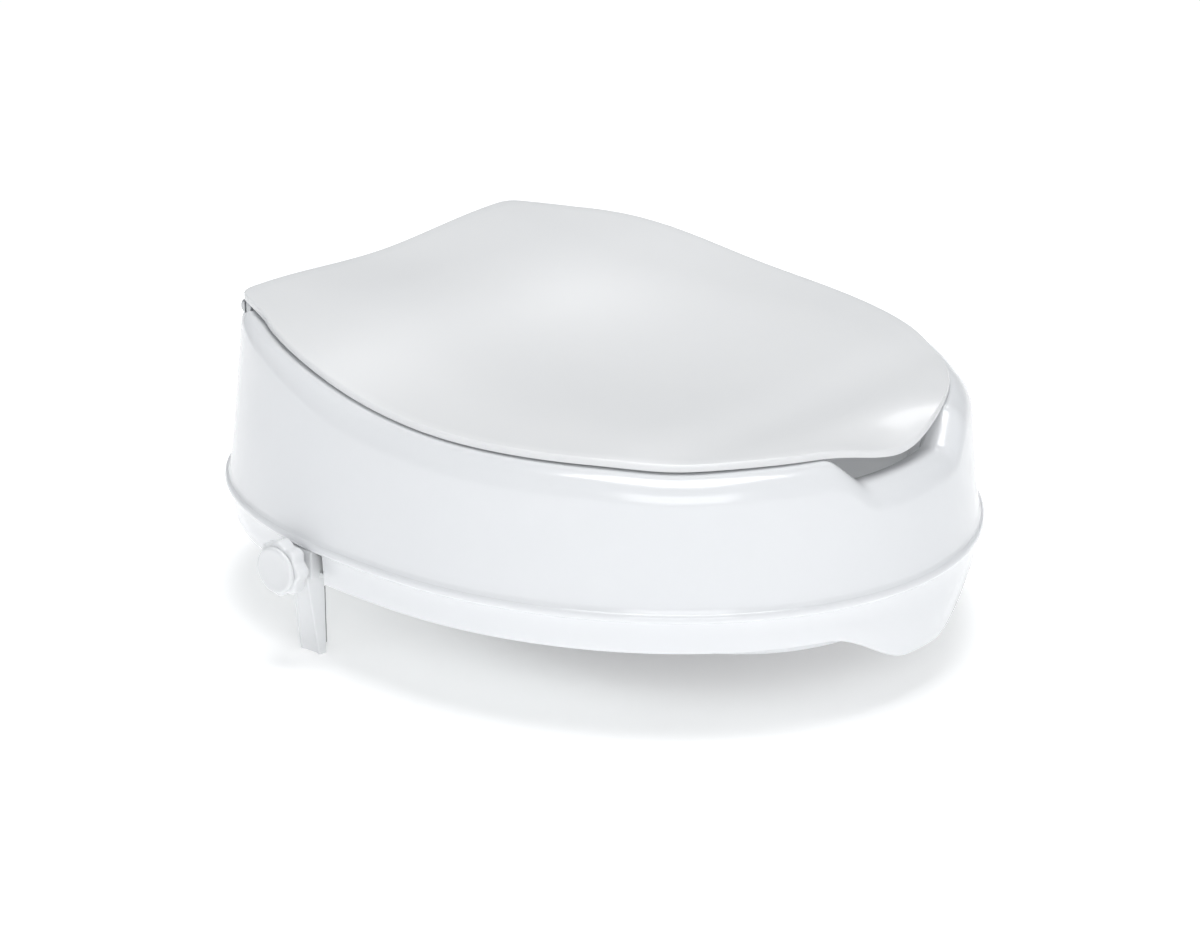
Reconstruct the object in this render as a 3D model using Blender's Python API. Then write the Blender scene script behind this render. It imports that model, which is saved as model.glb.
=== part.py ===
"""Raised toilet seat with a hinged lid and two screw clamps: 37 named pieces.

X is across the seat, -Y is the front, +Z is up, in metres.  The origin is the middle of the
bounding box, at the lowest point, which is the foot of the two clamp arms.
Heights are measured from BEAD_Z, the middle of the bead that runs round the outside wall.
"""
import math

import bmesh
import bpy
from mathutils import Matrix, Vector

GAP = 0.0003              # air between pieces that touch
BEAD_Z = 0.0675           # height of the bead above the clamp feet

# Plan of the seat: one superellipse in front of the widest line and one behind it.
CENTRE_Y = 0.004          # the widest line of the plan
HALF_WIDTH = 0.185
FRONT = 0.223
BACK = 0.215
POWER_FRONT = 1.97
POWER_BACK = 2.5

# Aperture in the middle of the seat.
HOLE_Y = -0.040
HOLE_HALF_WIDTH = 0.106
HOLE_HALF_LENGTH = 0.142
HOLE_POWER = 2.2

# Outer wall, measured inwards from the bead and up from it.
WALL = 0.003
BEAD_RADIUS = 0.0028
BEAD_REACH = 0.0030       # how far the bead stands out of the wall above it
SKIRT_INSET = 0.0036
SKIRT_DROP = 0.0210
WALL_DRAFT = 0.096
TOP_FILLET = 0.015         # rounding of the top edge in front
BACK_FILLET = 0.005        # and beside the hinge
HOLE_FILLET = 0.007
COLLAR_DROP = 0.040
COLLAR_DRAFT = 0.05

# Height of the rim: level in front, rising towards the hinge.
RIM_Z = 0.0732
RIM_RISE = 0.0248
RISE_Y = 0.068
RISE_SPREAD = 0.033
RIM_DISH = 0.006
SADDLE = 0.0044           # hollow across the back of the rim and of the lid
SADDLE_X = 0.096
FRONT_DIP = 0.0018        # slight wave in the rim and lid at each side of the front
FRONT_DIP_Y = -0.136
DECK_STEP_Y = 0.161       # behind this line the deck drops to clear the hinge
DECK_STEP = 0.0099

# Hand recess in the front of the rim, and the locating tongue under the front.
RECESS_DEPTH = 0.016
RECESS_INNER = 0.030
RECESS_OUTER = 0.054
TONGUE_DROP = 0.021
TONGUE_INNER = 0.012
TONGUE_OUTER = 0.066
TONGUE_TAPER = 0.05

# Lid.
LID_INSET = 0.022
LID_THICK = 0.0036
LID_GAP_FRONT = 0.0010
LID_GAP_RISE = 0.0012
LID_CROWN = 0.0015
LID_DISH = 0.006
DISH_MIDDLE = -0.035
DISH_X = 0.125
DISH_Y = 0.165
LID_NOSE_DROP = 0.0104
LID_BACK_Y = 0.1775
LID_SHOULDER_Y = 0.139
LID_SHOULDER_X = 0.132
LID_SHOULDER_SLOPE = 0.5

# Hinge across the back of the lid.
HINGE_Y = 0.1735
HINGE_Z = 0.0938
KNUCKLE_RADIUS = 0.0042
LUG_X = (0.095, 0.1108)
LUG_FOOT_Z = 0.0853
EAR_X = (0.070, 0.092)
PIN_RADIUS = 0.0025
PIN_HOLE = 0.0028

# Screw clamps, one each side.  U is the distance out from the middle of the seat.
CLAMP_Y = 0.0717
SCREW_Z = -0.0113
SCREW_RADIUS = 0.004
LEG_U = (0.139, 0.180)
LEG_HALF = 0.010
LEG_Z = (-0.0199, -0.0035)
FLANGE_HALF = 0.013
FLANGE_Z = (-0.0172, -0.0142)
ARM_FOOT_Z = -0.0675
ARM_INNER_U = 0.168
ARM_TOP_U = 0.180
ARM_FOOT_U = 0.173
NUT_U = (0.1438, 0.1503)
NUT_FLAT = 0.013
TUNNEL_WALL = 0.0025
BEARING_U = (0.115, 0.119)
KNOB_U = (0.1865, 0.1955)
KNOB_RADIUS = 0.0150
KNOB_LOBES = 8
KNOB_LOBE_DEPTH = 0.0010
CAP_RADIUS = 0.0129
CAP_U = 0.1985
NOTCH_Y = (0.054, 0.089)
NOTCH_TOP = -0.0032

# Base ring closing the underside.
PLATE_Z = (-0.0205, -0.0175)
PLATE_LIP = 0.008
PLATE_LIP_THICK = 0.0022
BOSS_RADIUS = 0.0045
SCREW_HOLE = 0.0021
SCREW_ANGLES = (-125, -55, -168, -12, 62, 118)
PAD_ANGLES = {"front_left": -142, "front_right": -38, "back_left": 132, "back_right": 48}

STEPS = 96

MATERIALS = {
    "white_plastic": ((0.86, 0.88, 0.89, 1), 0.22, 0.0),
    "lid_plastic": ((0.80, 0.82, 0.83, 1), 0.28, 0.0),
    "knob_plastic": ((0.86, 0.88, 0.88, 1), 0.30, 0.0),
    "base_plastic": ((0.80, 0.82, 0.82, 1), 0.45, 0.0),
    "grey_rubber": ((0.30, 0.31, 0.32, 1), 0.80, 0.0),
    "steel": ((0.55, 0.56, 0.57, 1), 0.30, 1.0),
}


def clear_scene():
    for item in list(bpy.data.objects):
        bpy.data.objects.remove(item, do_unlink=True)


def material(name):
    found = bpy.data.materials.get(name)
    if found:
        return found
    colour, roughness, metallic = MATERIALS[name]
    made = bpy.data.materials.new(name)
    made.use_nodes = True
    shader = made.node_tree.nodes["Principled BSDF"]
    shader.inputs["Base Color"].default_value = colour
    shader.inputs["Roughness"].default_value = roughness
    shader.inputs["Metallic"].default_value = metallic
    return made


def smooth_step(value, start, end):
    """0 before start, 1 after end, an S-curve between."""
    u = min(max((value - start) / (end - start), 0.0), 1.0)
    return u * u * (3 - 2 * u)


def power(value, exponent):
    return math.copysign(abs(value) ** exponent, value)


# ---------------------------------------------------------------- shared curves

def outline(t, inset):
    """Plan of the seat at angle t, moved in from the bead by inset."""
    c = math.cos(t)
    s = math.sin(t)
    reach, n = (BACK, POWER_BACK) if s >= 0 else (FRONT, POWER_FRONT)
    return Vector(((HALF_WIDTH - inset) * power(c, 2 / n),
                   CENTRE_Y + (reach - inset) * power(s, 2 / n)))


def hole_outline(t, inset=0.0):
    e = 2 / HOLE_POWER
    return Vector(((HOLE_HALF_WIDTH - inset) * power(math.cos(t), e),
                   HOLE_Y + (HOLE_HALF_LENGTH - inset) * power(math.sin(t), e)))


def rise(y):
    """How far the rim has climbed at y, from 0 in front to 1 at the hinge."""
    return 1 / (1 + math.exp(-(y - RISE_Y) / RISE_SPREAD))


def saddle(x, y):
    """Depth of the shallow hollow across the back and of the wave near the front."""
    back = SADDLE * (1 - smooth_step(abs(x), 0.0, SADDLE_X)) * smooth_step(y, 0.06, 0.16)
    return back + FRONT_DIP * math.exp(-((y - FRONT_DIP_Y) / 0.022) ** 2)


def rim_height(x, y):
    """Top of the rim above the bead."""
    z = RIM_Z + RIM_RISE * rise(y) - saddle(x, y)
    z -= DECK_STEP * smooth_step(y, DECK_STEP_Y - 0.006, DECK_STEP_Y)
    if y < 0:
        z -= RECESS_DEPTH * (1 - smooth_step(abs(x), RECESS_INNER, RECESS_OUTER))
    return z


def tongue_drop(x, y):
    if y > 0:
        return 0.0
    return TONGUE_DROP * (1 - smooth_step(abs(x), TONGUE_INNER, TONGUE_OUTER))


def lid_top(x, y):
    """Upper surface of the closed lid above the bead."""
    z = RIM_Z + LID_GAP_FRONT + LID_THICK + (RIM_RISE + LID_GAP_RISE) * rise(y)
    across = 1 - (x / HALF_WIDTH) ** 2
    z += LID_CROWN * across * smooth_step(y, -0.21, -0.10) * (1 - smooth_step(y, 0.08, 0.17))
    spot = (x / DISH_X) ** 2 + ((y - DISH_MIDDLE) / DISH_Y) ** 2
    z -= LID_DISH * max(0.0, 1 - spot) ** 2
    nose = (1 - smooth_step(y, -0.205, -0.165)) * (1 - smooth_step(abs(x), 0.0, 0.062))
    return z - LID_NOSE_DROP * nose - saddle(x, y)


def lid_outline(t):
    p = outline(t, LID_INSET)
    x, y = p
    if y > LID_SHOULDER_Y:
        shoulder = LID_SHOULDER_X - LID_SHOULDER_SLOPE * (y - LID_SHOULDER_Y)
        x = math.copysign(max(abs(x), shoulder), x)
    return Vector((x, y))


# ---------------------------------------------------------------- mesh builders

def finish(mesh_data, name, slot, sharp=35):
    """Turn a bmesh into one named, smooth-shaded object facing outwards."""
    bmesh.ops.recalc_face_normals(mesh_data, faces=mesh_data.faces[:])
    data = bpy.data.meshes.new(name)
    mesh_data.to_mesh(data)
    mesh_data.free()
    made = bpy.data.objects.new(name, data)
    bpy.context.scene.collection.objects.link(made)
    data.materials.append(material(slot))
    data.shade_smooth()
    data.set_sharp_from_angle(angle=math.radians(sharp))
    return made


def sweep(name, slot, sections, closed=True, sharp=35):
    """Join equal-length closed sections into a tube; capped at both ends unless closed."""
    bm = bmesh.new()
    rings = [[bm.verts.new(p) for p in section] for section in sections]
    pairs = list(zip(rings, rings[1:]))
    if closed:
        pairs.append((rings[-1], rings[0]))
    for one, two in pairs:
        for i in range(len(one)):
            j = (i + 1) % len(one)
            bm.faces.new((one[i], one[j], two[j], two[i]))
    if not closed:
        bm.faces.new(rings[0])
        bm.faces.new(rings[-1])
    return finish(bm, name, slot, sharp)


def along_x(profile_points, side, y, z, count=48):
    """Sections of a turned piece on a line along X; profile_points are (u, radius)."""
    sections = []
    for i in range(count):
        a = 2 * math.pi * i / count
        sections.append([(side * u, y + r * math.cos(a), z + r * math.sin(a))
                         for u, r in profile_points])
    return sections


def turned(name, slot, profile_points, side, y, z, count=48):
    """Solid of revolution about a line along X; the profile starts and ends on the axis."""
    inner = profile_points[1:-1]
    bm = bmesh.new()
    rings = [[bm.verts.new(p) for p in s] for s in along_x(inner, side, y, z, count)]
    ends = [bm.verts.new((side * profile_points[k][0], y, z)) for k in (0, -1)]
    for i in range(count):
        one = rings[i]
        two = rings[(i + 1) % count]
        bm.faces.new((ends[0], one[0], two[0]))
        bm.faces.new((ends[1], two[-1], one[-1]))
        for k in range(len(inner) - 1):
            bm.faces.new((one[k], one[k + 1], two[k + 1], two[k]))
    return finish(bm, name, slot)


def block(name, slot, low, high, bevel=0.0):
    bm = bmesh.new()
    size = Vector(high) - Vector(low)
    middle = (Vector(high) + Vector(low)) / 2
    bmesh.ops.create_cube(bm, size=1.0, matrix=Matrix.Translation(middle) @ Matrix.Diagonal((*size, 1)))
    if bevel:
        bmesh.ops.bevel(bm, geom=bm.edges[:], offset=bevel, segments=2, profile=0.5, affect="EDGES")
    return finish(bm, name, slot)


def rod(name, slot, centre, radius, z_low, z_high, count=24):
    """Upright round rod."""
    bm = bmesh.new()
    matrix = Matrix.Translation((centre[0], centre[1], (z_low + z_high) / 2))
    bmesh.ops.create_cone(bm, cap_ends=True, segments=count, radius1=radius, radius2=radius,
                          depth=z_high - z_low, matrix=matrix)
    return finish(bm, name, slot)


def side_block(name, slot, side, u, y, z, bevel=0.0):
    """Box given by its reach from the middle, its y and its height above the bead."""
    xs = sorted((side * u[0], side * u[1]))
    return block(name, slot, (xs[0], y[0], BEAD_Z + z[0]), (xs[1], y[1], BEAD_Z + z[1]), bevel)


def combine(target, others, operation):
    """Exact Boolean of target with each of others, which are used up."""
    for other in others:
        modifier = target.modifiers.new("cut", "BOOLEAN")
        modifier.operation = operation
        modifier.solver = "EXACT"
        modifier.object = other
        graph = bpy.context.evaluated_depsgraph_get()
        data = bpy.data.meshes.new_from_object(target.evaluated_get(graph))
        target.modifiers.clear()
        old = target.data
        target.data = data
        bpy.data.meshes.remove(old)
        bpy.data.objects.remove(other, do_unlink=True)
    target.data.name = target.name
    tidy(target)
    return target


def tidy(target, sharp=35):
    bm = bmesh.new()
    bm.from_mesh(target.data)
    bmesh.ops.remove_doubles(bm, verts=bm.verts[:], dist=0.00002)
    bmesh.ops.dissolve_degenerate(bm, edges=bm.edges[:], dist=0.00002)
    bm.to_mesh(target.data)
    bm.free()
    target.data.shade_smooth()
    target.data.set_sharp_from_angle(angle=math.radians(sharp))


def split_quads(target):
    """Divide every four-sided face along its shorter diagonal, so thin walls stay apart."""
    bm = bmesh.new()
    bm.from_mesh(target.data)
    bmesh.ops.triangulate(bm, faces=bm.faces[:], quad_method="SHORT_EDGE")
    bm.to_mesh(target.data)
    bm.free()


def angles(count):
    return [2 * math.pi * i / count for i in range(count)]


# ---------------------------------------------------------------- seat shell

def top_fillet(y):
    """Radius of the rounded top edge, large in front and small beside the hinge."""
    return TOP_FILLET + (BACK_FILLET - TOP_FILLET) * smooth_step(y, 0.02, 0.15)


def outer_side(t, skin):
    """Outside of the wall from the skirt edge to the rim, moved inwards by skin."""
    foot = outline(t, SKIRT_INSET)
    drop = tongue_drop(foot.x, foot.y)
    top = outline(t, 0.0238)
    rim = rim_height(top.x, top.y)
    points = [(SKIRT_INSET + 0.0012 + TONGUE_TAPER * drop + skin, -SKIRT_DROP - drop),
              (SKIRT_INSET + 0.0006 + 0.4 * TONGUE_TAPER * drop + skin, -0.55 * SKIRT_DROP - 0.4 * drop),
              (SKIRT_INSET + skin, -BEAD_RADIUS - 0.0003)]
    if skin == 0:
        for a in (-80, -45, 0, 45, 75):
            lean = math.radians(a)
            points.append((BEAD_RADIUS * (1 - math.cos(lean)), BEAD_RADIUS * math.sin(lean)))
    points.append((BEAD_REACH + skin, 2 * BEAD_RADIUS))
    fillet = top_fillet(top.y)
    start = rim - fillet
    inset = BEAD_REACH + WALL_DRAFT * start
    points.append((BEAD_REACH + WALL_DRAFT * start * 0.5 + skin, start * 0.5))
    for a in (0, 22.5, 45, 67.5, 90) if skin == 0 else (0, 45, 90):
        lean = math.radians(a)
        radius = fillet - skin
        points.append((inset + fillet - radius * math.cos(lean),
                       start + radius * math.sin(lean)))
    made = []
    for step, height in points:
        p = outline(t, step)
        made.append(Vector((p.x, p.y, BEAD_Z + height)))
    return made


def seat_side(t, skin):
    """Rim, rounded aperture edge and collar, from the outside in, moved by skin."""
    start = outline(t, 0.027)
    edge = hole_outline(t)
    out = (start - edge).normalized()
    shoulder = edge + out * HOLE_FILLET
    made = []
    for s in (0.15, 0.45, 0.75, 1.0):
        p = start.lerp(shoulder, s)
        made.append(Vector((p.x, p.y, BEAD_Z + rim_height(p.x, p.y) - RIM_DISH * s * s - skin)))
    low = made[-1].z - HOLE_FILLET + skin
    for a in (60, 30, 0):
        lean = math.radians(a)
        radius = HOLE_FILLET - skin
        p = shoulder - out * radius * math.cos(lean)
        made.append(Vector((p.x, p.y, low + radius * math.sin(lean))))
    foot = edge - out * COLLAR_DRAFT * (low - BEAD_Z + COLLAR_DROP) + out * skin
    made.append(Vector((foot.x, foot.y, BEAD_Z - COLLAR_DROP)))
    return made


def shell_section(t):
    outside = outer_side(t, 0.0) + seat_side(t, 0.0)
    inside = outer_side(t, WALL) + seat_side(t, WALL)
    return outside + inside[::-1]


def hinge_lug(side):
    """Round-headed post on the rear deck that carries the hinge pin."""
    r = KNUCKLE_RADIUS
    loop = [(HINGE_Y + r * math.cos(a), HINGE_Z + r * math.sin(a))
            for a in (math.pi * k / 12 for k in range(13))]
    loop += [(HINGE_Y - r, LUG_FOOT_Z), (HINGE_Y + r, LUG_FOOT_Z)]
    return sweep("lug", "white_plastic",
                 [[(side * u, y, BEAD_Z + z) for y, z in loop] for u in LUG_X], closed=False)


def pin_bore(side):
    profile = [(0.04, 0), (0.04, PIN_HOLE), (0.13, PIN_HOLE), (0.13, 0)]
    return turned("bore", "steel", profile, side, HINGE_Y, BEAD_Z + HINGE_Z, 32)


def ring_middle(angle, share=0.5):
    """A point inside the hollow of the seat at a given angle in degrees."""
    t = math.radians(angle)
    return outline(t, 0.012).lerp(hole_outline(t, -0.004), share)


def make_seat_shell():
    shell = sweep("seat_shell", "white_plastic", [shell_section(t) for t in angles(STEPS)])
    split_quads(shell)
    adds = []
    for angle in SCREW_ANGLES:
        p = ring_middle(angle)
        top = BEAD_Z + rim_height(p.x, p.y) - 0.0030
        adds.append(rod("boss", "white_plastic", p, BOSS_RADIUS, BEAD_Z + PLATE_Z[1] + GAP, top))
    adds += [hinge_lug(side) for side in (-1, 1)]
    combine(shell, adds, "UNION")
    cuts = [pin_bore(side) for side in (-1, 1)]
    for angle in SCREW_ANGLES:
        p = ring_middle(angle)
        cuts.append(rod("hole", "steel", p, SCREW_HOLE, 0.02, BEAD_Z + 0.012, 16))
    for side in (-1, 1):
        cuts.append(side_block("notch", "steel", side, (0.150, 0.21), NOTCH_Y, (-0.05, NOTCH_TOP)))
    return combine(shell, cuts, "DIFFERENCE")


# ---------------------------------------------------------------- base ring

def base_section(t):
    """Channel section: a plate with an upstand along each edge."""
    foot = outline(t, SKIRT_INSET)
    taper = 0.42 * TONGUE_TAPER * tongue_drop(foot.x, foot.y)
    outer = outline(t, SKIRT_INSET + 0.0018 + WALL + taper)
    edge = hole_outline(t)
    out = (outline(t, 0.027) - edge).normalized()
    shoulder = edge + out * HOLE_FILLET
    fall = rim_height(shoulder.x, shoulder.y) - RIM_DISH - HOLE_FILLET - PLATE_Z[1] - PLATE_LIP
    inner = edge + out * (WALL + 0.0006 - COLLAR_DRAFT * fall)
    across = (outer - inner).normalized() * PLATE_LIP_THICK
    low, high = (BEAD_Z + z for z in PLATE_Z)
    lip = high + PLATE_LIP
    stations = [(outer, low), (outer, lip), (outer - across, lip), (outer - across, high),
                (inner + across, high), (inner + across, lip), (inner, lip), (inner, low)]
    return [Vector((p.x, p.y, z)) for p, z in stations]


def radial_rib(angle):
    """Thin web across the channel."""
    t = math.radians(angle)
    outer = outline(t, 0.0125)
    inner = hole_outline(t, -0.001)
    length = (outer - inner).length
    middle = (outer + inner) / 2
    low = BEAD_Z + PLATE_Z[0] + 0.001
    high = BEAD_Z + PLATE_Z[1] + 0.006
    turn = math.atan2(outer.y - inner.y, outer.x - inner.x)
    bm = bmesh.new()
    matrix = (Matrix.Translation((middle.x, middle.y, (low + high) / 2))
              @ Matrix.Rotation(turn, 4, "Z") @ Matrix.Diagonal((length, 0.002, high - low, 1)))
    bmesh.ops.create_cube(bm, size=1.0, matrix=matrix)
    return finish(bm, "rib", "base_plastic")


def clamp_tunnel(side):
    """Box over the sliding leg, with the screw bearing at its inner end."""
    half = FLANGE_HALF + GAP
    top = LEG_Z[1] + 0.0005
    y = (CLAMP_Y - half - TUNNEL_WALL, CLAMP_Y + half + TUNNEL_WALL)
    return side_block("tunnel", "base_plastic", side, (BEARING_U[0], 0.1655), y,
                      (PLATE_Z[0], top + TUNNEL_WALL))


def tunnel_cuts(side):
    half = FLANGE_HALF + GAP
    hollow = side_block("hollow", "steel", side, (BEARING_U[1], 0.20),
                        (CLAMP_Y - half, CLAMP_Y + half), (PLATE_Z[1], LEG_Z[1] + 0.0005))
    slot = side_block("slot", "steel", side, (BEARING_U[1], 0.20),
                      (CLAMP_Y - LEG_HALF - GAP, CLAMP_Y + LEG_HALF + GAP), (-0.05, PLATE_Z[1] + 0.001))
    hole = [(0.10, 0), (0.10, SCREW_RADIUS + GAP), (0.125, SCREW_RADIUS + GAP), (0.125, 0)]
    return [hollow, slot, turned("hole", "steel", hole, side, CLAMP_Y, BEAD_Z + SCREW_Z, 32)]


def make_base_ring():
    ring = sweep("base_ring", "base_plastic", [base_section(t) for t in angles(STEPS)])
    ribs = [radial_rib(a) for a in (-140, -110, -70, -40, -5, 185, 45, 135, 75, 105)]
    combine(ring, ribs + [clamp_tunnel(-1), clamp_tunnel(1)], "UNION")
    cuts = tunnel_cuts(-1) + tunnel_cuts(1)
    for angle in SCREW_ANGLES:
        cuts.append(rod("hole", "steel", ring_middle(angle), SCREW_HOLE, 0.02, BEAD_Z, 16))
    return combine(ring, cuts, "DIFFERENCE")


def make_base_screw(number, angle):
    """Pan-head screw driven up through the base ring into a boss."""
    p = ring_middle(angle)
    under = BEAD_Z + PLATE_Z[0] - GAP
    head = rod("base_screw_%d" % number, "steel", p, 0.0038, under - 0.0017, under, 24)
    shank = rod("shank", "steel", p, 0.0018, under - 0.0005, under + 0.014, 16)
    combine(head, [shank], "UNION")
    slot = block("slot", "steel", (p.x - 0.0005, p.y - 0.003, under - 0.003),
                 (p.x + 0.0005, p.y + 0.003, under - 0.0009))
    return combine(head, [slot], "DIFFERENCE")


def make_rest_pad(name, angle):
    """Rubber pad under the base ring that stands on the bowl."""
    p = ring_middle(angle)
    t = math.radians(angle)
    along = outline(t + 0.02, 0.01) - outline(t - 0.02, 0.01)
    high = BEAD_Z + PLATE_Z[0] - GAP
    low = BEAD_Z - SKIRT_DROP - 0.0025
    bm = bmesh.new()
    matrix = (Matrix.Translation((p.x, p.y, (low + high) / 2))
              @ Matrix.Rotation(math.atan2(along.y, along.x), 4, "Z")
              @ Matrix.Diagonal((0.030, 0.012, high - low, 1)))
    bmesh.ops.create_cube(bm, size=1.0, matrix=matrix)
    upright = [e for e in bm.edges if abs(e.verts[0].co.z - e.verts[1].co.z) > 0.001]
    bmesh.ops.bevel(bm, geom=upright, offset=0.004, segments=4, profile=0.5, affect="EDGES")
    return finish(bm, "rest_pad_" + name, "grey_rubber")


# ---------------------------------------------------------------- lid and hinge

def lid_loop(share):
    """Closed plan curve of the lid shrunk towards its middle."""
    points = []
    for t in angles(STEPS):
        p = lid_outline(t)
        p.y = min(p.y, LID_BACK_Y)
        points.append(Vector((p.x * share, -0.02 + (p.y + 0.02) * share)))
    return points


def make_lid():
    """Curved plate following the rim, with a rounded edge and two hinge ears."""
    bm = bmesh.new()
    shares = [(1.0, 0.35), (0.9955, 0.0), (0.93, 0.0), (0.8, 0.0), (0.6, 0.0), (0.4, 0.0), (0.2, 0.0)]
    upper = []
    lower = []
    for share, dip in shares:
        loop = lid_loop(share)
        upper.append([bm.verts.new((p.x, p.y, BEAD_Z + lid_top(p.x, p.y) - dip * LID_THICK))
                      for p in loop])
        lower.append([bm.verts.new((p.x, p.y, BEAD_Z + lid_top(p.x, p.y) - (1 - dip) * LID_THICK))
                      for p in loop])
    centre = (0.0, -0.02)
    top = bm.verts.new((*centre, BEAD_Z + lid_top(*centre)))
    bottom = bm.verts.new((*centre, BEAD_Z + lid_top(*centre) - LID_THICK))
    bands = upper[::-1] + lower
    for one, two in zip(bands, bands[1:]):
        for i in range(STEPS):
            j = (i + 1) % STEPS
            bm.faces.new((one[i], one[j], two[j], two[i]))
    for i in range(STEPS):
        j = (i + 1) % STEPS
        bm.faces.new((top, upper[-1][j], upper[-1][i]))
        bm.faces.new((bottom, lower[-1][i], lower[-1][j]))
    lid = finish(bm, "lid", "lid_plastic")
    return combine(combine(lid, [lid_ear(-1), lid_ear(1)], "UNION"), [pin_bore(-1), pin_bore(1)],
                   "DIFFERENCE")


def lid_ear(side):
    """Hanging ear round the hinge pin."""
    profile = [(EAR_X[0], 0), (EAR_X[0], KNUCKLE_RADIUS), (EAR_X[1], KNUCKLE_RADIUS), (EAR_X[1], 0)]
    barrel = turned("ear", "lid_plastic", profile, side, HINGE_Y, BEAD_Z + HINGE_Z)
    web = side_block("web", "lid_plastic", side, EAR_X,
                     (HINGE_Y - KNUCKLE_RADIUS, HINGE_Y + KNUCKLE_RADIUS), (HINGE_Z, 0.0995))
    return combine(barrel, [web], "UNION")


def make_hinge_pin(name, side):
    """Headed pin through the lug and the ear, slotted across its head."""
    end = EAR_X[0] - 0.0025
    head = LUG_X[1] + GAP
    profile = [(end, 0), (end, 0.0020), (end + 0.0005, PIN_RADIUS), (head, PIN_RADIUS),
               (head, KNUCKLE_RADIUS), (head + 0.0015, KNUCKLE_RADIUS), (head + 0.0021, 0.0034),
               (head + 0.0021, 0)]
    pin = turned("hinge_pin_" + name, "steel", profile, side, HINGE_Y, BEAD_Z + HINGE_Z, 32)
    slot = side_block("slot", "steel", side, (head + 0.0010, head + 0.01),
                      (HINGE_Y - 0.0007, HINGE_Y + 0.0007), (HINGE_Z - 0.005, HINGE_Z + 0.005))
    return combine(pin, [slot], "DIFFERENCE")


def make_hinge_clip(name, side):
    """Push-on ring at the inner end of the hinge pin."""
    u = (EAR_X[0] - 0.0018, EAR_X[0] - GAP)
    profile = [(u[0], PIN_HOLE), (u[0], 0.0042), (u[1], 0.0042), (u[1], PIN_HOLE)]
    return sweep("hinge_clip_" + name, "steel",
                 along_x(profile, side, HINGE_Y, BEAD_Z + HINGE_Z, 32))


def make_lid_buffer(name, x, y):
    """Soft stop under the lid that lands on the rim."""
    high = BEAD_Z + min(lid_top(x + a, y + b) for a in (-0.005, 0.005) for b in (-0.005, 0.005))
    return rod("lid_buffer_" + name, "grey_rubber", (x, y), 0.0045,
               BEAD_Z + rim_height(x, y) + 0.0004, high - LID_THICK - GAP)


# ---------------------------------------------------------------- screw clamps

def arm_section(z, outer_u, outer_half):
    """Four corners of the arm at one height: wide inner face, narrower outer face."""
    return [(ARM_INNER_U, -0.008), (outer_u, -outer_half), (outer_u, outer_half),
            (ARM_INNER_U, 0.008)], z


def make_jaw(name, side):
    """Sliding leg with the arm that hangs outside the bowl."""
    leg = side_block("clamp_jaw_" + name, "knob_plastic", side, LEG_U,
                     (CLAMP_Y - LEG_HALF, CLAMP_Y + LEG_HALF), LEG_Z, 0.0008)
    flange = side_block("flange", "knob_plastic", side, (LEG_U[0], 0.162),
                        (CLAMP_Y - FLANGE_HALF, CLAMP_Y + FLANGE_HALF), FLANGE_Z)
    sections = []
    for corners, z in (arm_section(-0.0100, ARM_TOP_U, 0.0062),
                       arm_section(-0.0220, ARM_TOP_U - 0.0008, 0.0062),
                       arm_section(-0.0640, ARM_FOOT_U + 0.0003, 0.0074),
                       arm_section(ARM_FOOT_Z, ARM_FOOT_U - 0.0005, 0.0072)):
        sections.append([(side * u, CLAMP_Y + v, BEAD_Z + z) for u, v in corners])
    arm = sweep("arm", "knob_plastic", sections, closed=False)
    gusset_points = [(0.1685, -0.0190), (0.1685, -0.0262), (0.1660, -0.0232), (0.1620, -0.0212),
                     (0.1570, -0.0190)]
    gusset = sweep("gusset", "knob_plastic",
                   [[(side * u, CLAMP_Y + v, BEAD_Z + z) for u, z in gusset_points]
                    for v in (-0.0065, 0.0065)], closed=False)
    combine(leg, [flange, arm, gusset], "UNION")
    bore = [(0.10, 0), (0.10, SCREW_RADIUS + 0.0006), (0.20, SCREW_RADIUS + 0.0006), (0.20, 0)]
    half = NUT_FLAT / 2 + GAP
    pocket = side_block("pocket", "steel", side, (NUT_U[0] - GAP, NUT_U[1] + GAP),
                        (CLAMP_Y - half, CLAMP_Y + half), (SCREW_Z - 0.0079, 0.01))
    cuts = [turned("bore", "steel", bore, side, CLAMP_Y, BEAD_Z + SCREW_Z, 32), pocket]
    return combine(leg, cuts, "DIFFERENCE")


def make_jaw_pad(name, side):
    u = ARM_INNER_U - GAP
    return side_block("jaw_pad_" + name, "grey_rubber", side, (u - 0.0022, u),
                      (CLAMP_Y - 0.0068, CLAMP_Y + 0.0068), (-0.0625, -0.0290), 0.0004)


def make_nut(name, side):
    """Hexagon nut held in the jaw, with flats facing front and back."""
    across = NUT_FLAT / math.sqrt(3)
    sections = []
    for i in range(48):
        a = 2 * math.pi * i / 48
        turn = (a + math.pi / 6) % (math.pi / 3) - math.pi / 6
        outer = NUT_FLAT / 2 / math.cos(turn)
        sections.append([(side * u, CLAMP_Y + r * math.cos(a), BEAD_Z + SCREW_Z + r * math.sin(a))
                         for u, r in ((NUT_U[0], SCREW_RADIUS + GAP), (NUT_U[0], min(outer, across)),
                                      (NUT_U[1], min(outer, across)), (NUT_U[1], SCREW_RADIUS + GAP))])
    return sweep("clamp_nut_" + name, "steel", sections)


def make_spindle(name, side):
    """Screw from the bearing to the knob, with a thrust collar outside the bearing."""
    r = SCREW_RADIUS
    collar = BEARING_U[1] + 0.0021
    profile = [(0.1100, 0), (0.1100, r - 0.0008), (0.1108, r), (collar, r), (collar, 0.0065),
               (collar + 0.0018, 0.0065), (collar + 0.0018, r), (0.1938, r), (0.1944, r - 0.0006),
               (0.1944, 0)]
    return turned("spindle_" + name, "steel", profile, side, CLAMP_Y, BEAD_Z + SCREW_Z)


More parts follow.
